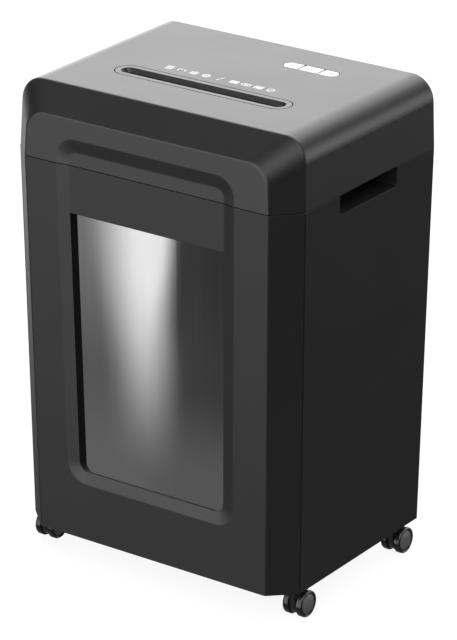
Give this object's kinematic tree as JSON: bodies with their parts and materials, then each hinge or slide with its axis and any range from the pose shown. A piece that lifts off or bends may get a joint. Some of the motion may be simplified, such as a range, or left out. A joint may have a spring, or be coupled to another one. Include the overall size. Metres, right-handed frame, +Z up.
{
  "type": "paper shredder",
  "caption": "Upright office paper shredder: black case with a feed slot and white keys on top, a window in the pull-out bin, hand holes in the sides and swivel casters.",
  "frame": {"origin": "on the floor under the centre of the case's outside box", "axes": "+Z up, -Y towards the front with the bin window, +X to the right of someone who stands in front and looks at the window"},
  "size_m": [0.4062, 0.3022, 0.6],
  "materials": {
    "case_black": "fine satin moulded plastic, charcoal black",
    "bezel_black": "satin plastic, same black as the head",
    "liner_black": "plain matte moulded plastic, black",
    "key_white": "white key caps, soft gloss",
    "lamp_white": "frosted pale lamp lenses",
    "smoked_window": "smoked glossy acrylic",
    "tool_steel": "hardened tool steel, oiled",
    "zinc_plate": "zinc-plated sheet steel",
    "bush_bronze": "sintered bronze",
    "motor_paint": "black painted motor can",
    "board_green": "circuit board with green solder resist",
    "dome_rubber": "grey silicone rubber",
    "socket_black": "black moulded electrical plastic",
    "screw_steel": "black-oxide steel screws",
    "caster_black": "glossy black nylon",
    "stem_steel": "plated steel stem"
  },
  "bodies": {
    "cabinet": {"head_cover": "case_black", "feed_slot_bezel": "bezel_black", "key_frame": "liner_black", "indicator_lenses": "lamp_white", "control_board": "board_green", "head_tray": "liner_black", "side_panel_left": "case_black", "side_panel_right": "case_black", "handle_cup_left": "liner_black", "handle_cup_right": "liner_black", "back_panel": "case_black", "base_plate": "case_black", "bin_rails": "liner_black", "bin_sensor": "socket_black", "cutter_plate_left": "zinc_plate", "cutter_plate_right": "zinc_plate", "tie_rods": "tool_steel", "comb_front": "zinc_plate", "comb_rear": "zinc_plate", "shaft_bushes": "bush_bronze", "motor_body": "motor_paint", "gearbox_cover": "zinc_plate", "power_inlet": "socket_black", "switch_housing": "socket_black", "caster_sockets": "liner_black", "case_screws": "screw_steel", "dome_reverse": "dome_rubber", "dome_power": "dome_rubber", "dome_forward": "dome_rubber"},
    "bin": {"bin_front": "case_black", "window_pane": "smoked_window", "window_retainer": "liner_black", "bin_tub": "liner_black", "bin_runners": "liner_black", "bin_screws": "screw_steel"},
    "reverse_key": {"key_reverse": "key_white"},
    "power_key": {"key_power": "key_white"},
    "forward_key": {"key_forward": "key_white"},
    "rocker": {"switch_rocker": "socket_black"},
    "front_cutter": {"cutter_front": "tool_steel", "gear_front": "tool_steel"},
    "rear_cutter": {"cutter_rear": "tool_steel", "gear_rear": "tool_steel"},
    "idler": {"idler_gear": "tool_steel"},
    "motor": {"motor_shaft": "tool_steel"},
    "caster_fl_swivel": {"caster_fl_hood": "caster_black", "caster_fl_stem": "stem_steel"},
    "caster_fl_wheels": {"caster_fl_wheels": "caster_black"},
    "caster_fr_swivel": {"caster_fr_hood": "caster_black", "caster_fr_stem": "stem_steel"},
    "caster_fr_wheels": {"caster_fr_wheels": "caster_black"},
    "caster_rl_swivel": {"caster_rl_hood": "caster_black", "caster_rl_stem": "stem_steel"},
    "caster_rl_wheels": {"caster_rl_wheels": "caster_black"},
    "caster_rr_swivel": {"caster_rr_hood": "caster_black", "caster_rr_stem": "stem_steel"},
    "caster_rr_wheels": {"caster_rr_wheels": "caster_black"}
  },
  "joints": [
    {"name": "bin_slide", "type": "slide", "parent": "cabinet", "child": "bin", "axis": [0, -1, 0], "range_m": [0, 0.24]},
    {"name": "press_reverse", "type": "slide", "parent": "cabinet", "child": "reverse_key", "axis": [0, 0, -1], "range_m": [0, 0.0012], "stiffness_N_per_m": 500, "springref_m": -0.001, "deforming": ["dome_reverse"]},
    {"name": "press_power", "type": "slide", "parent": "cabinet", "child": "power_key", "axis": [0, 0, -1], "range_m": [0, 0.0012], "stiffness_N_per_m": 500, "springref_m": -0.001, "deforming": ["dome_power"]},
    {"name": "press_forward", "type": "slide", "parent": "cabinet", "child": "forward_key", "axis": [0, 0, -1], "range_m": [0, 0.0012], "stiffness_N_per_m": 500, "springref_m": -0.001, "deforming": ["dome_forward"]},
    {"name": "rocker_tilt", "type": "hinge", "parent": "cabinet", "child": "rocker", "pos_m": [-0.088, 0.1484, 0.545], "axis": [0, 0, 1], "range_deg": [-20, 0]},
    {"name": "front_cutter_spin", "type": "hinge", "parent": "cabinet", "child": "front_cutter", "pos_m": [0, -0.0504, 0.544], "axis": [1, 0, 0], "continuous": true},
    {"name": "rear_cutter_spin", "type": "hinge", "parent": "cabinet", "child": "rear_cutter", "pos_m": [0, -0.0154, 0.544], "axis": [1, 0, 0], "continuous": true},
    {"name": "idler_spin", "type": "hinge", "parent": "cabinet", "child": "idler", "pos_m": [0, 0.01195, 0.55], "axis": [1, 0, 0], "continuous": true},
    {"name": "motor_spin", "type": "hinge", "parent": "cabinet", "child": "motor", "pos_m": [0, 0.04695, 0.55], "axis": [1, 0, 0], "continuous": true},
    {"name": "swivel_fl", "type": "hinge", "parent": "cabinet", "child": "caster_fl_swivel", "pos_m": [-0.1845, -0.107, 0.036], "axis": [0, 0, 1], "continuous": true},
    {"name": "roll_fl", "type": "hinge", "parent": "caster_fl_swivel", "child": "caster_fl_wheels", "pos_m": [-0.1845, -0.098, 0.0165], "axis": [1, 0, 0], "continuous": true},
    {"name": "swivel_fr", "type": "hinge", "parent": "cabinet", "child": "caster_fr_swivel", "pos_m": [0.1845, -0.107, 0.036], "axis": [0, 0, 1], "continuous": true},
    {"name": "roll_fr", "type": "hinge", "parent": "caster_fr_swivel", "child": "caster_fr_wheels", "pos_m": [0.1845, -0.098, 0.0165], "axis": [1, 0, 0], "continuous": true},
    {"name": "swivel_rl", "type": "hinge", "parent": "cabinet", "child": "caster_rl_swivel", "pos_m": [-0.1845, 0.103, 0.036], "axis": [0, 0, 1], "continuous": true},
    {"name": "roll_rl", "type": "hinge", "parent": "caster_rl_swivel", "child": "caster_rl_wheels", "pos_m": [-0.1845, 0.112, 0.0165], "axis": [1, 0, 0], "continuous": true},
    {"name": "swivel_rr", "type": "hinge", "parent": "cabinet", "child": "caster_rr_swivel", "pos_m": [0.1845, 0.103, 0.036], "axis": [0, 0, 1], "continuous": true},
    {"name": "roll_rr", "type": "hinge", "parent": "caster_rr_swivel", "child": "caster_rr_wheels", "pos_m": [0.1845, 0.112, 0.0165], "axis": [1, 0, 0], "continuous": true}
  ],
  "couplings": [
    {"joint": "rear_cutter_spin", "follows": "front_cutter_spin", "ratio": -1},
    {"joint": "idler_spin", "follows": "front_cutter_spin", "ratio": 1.6667},
    {"joint": "motor_spin", "follows": "front_cutter_spin", "ratio": -6.1111}
  ]
}
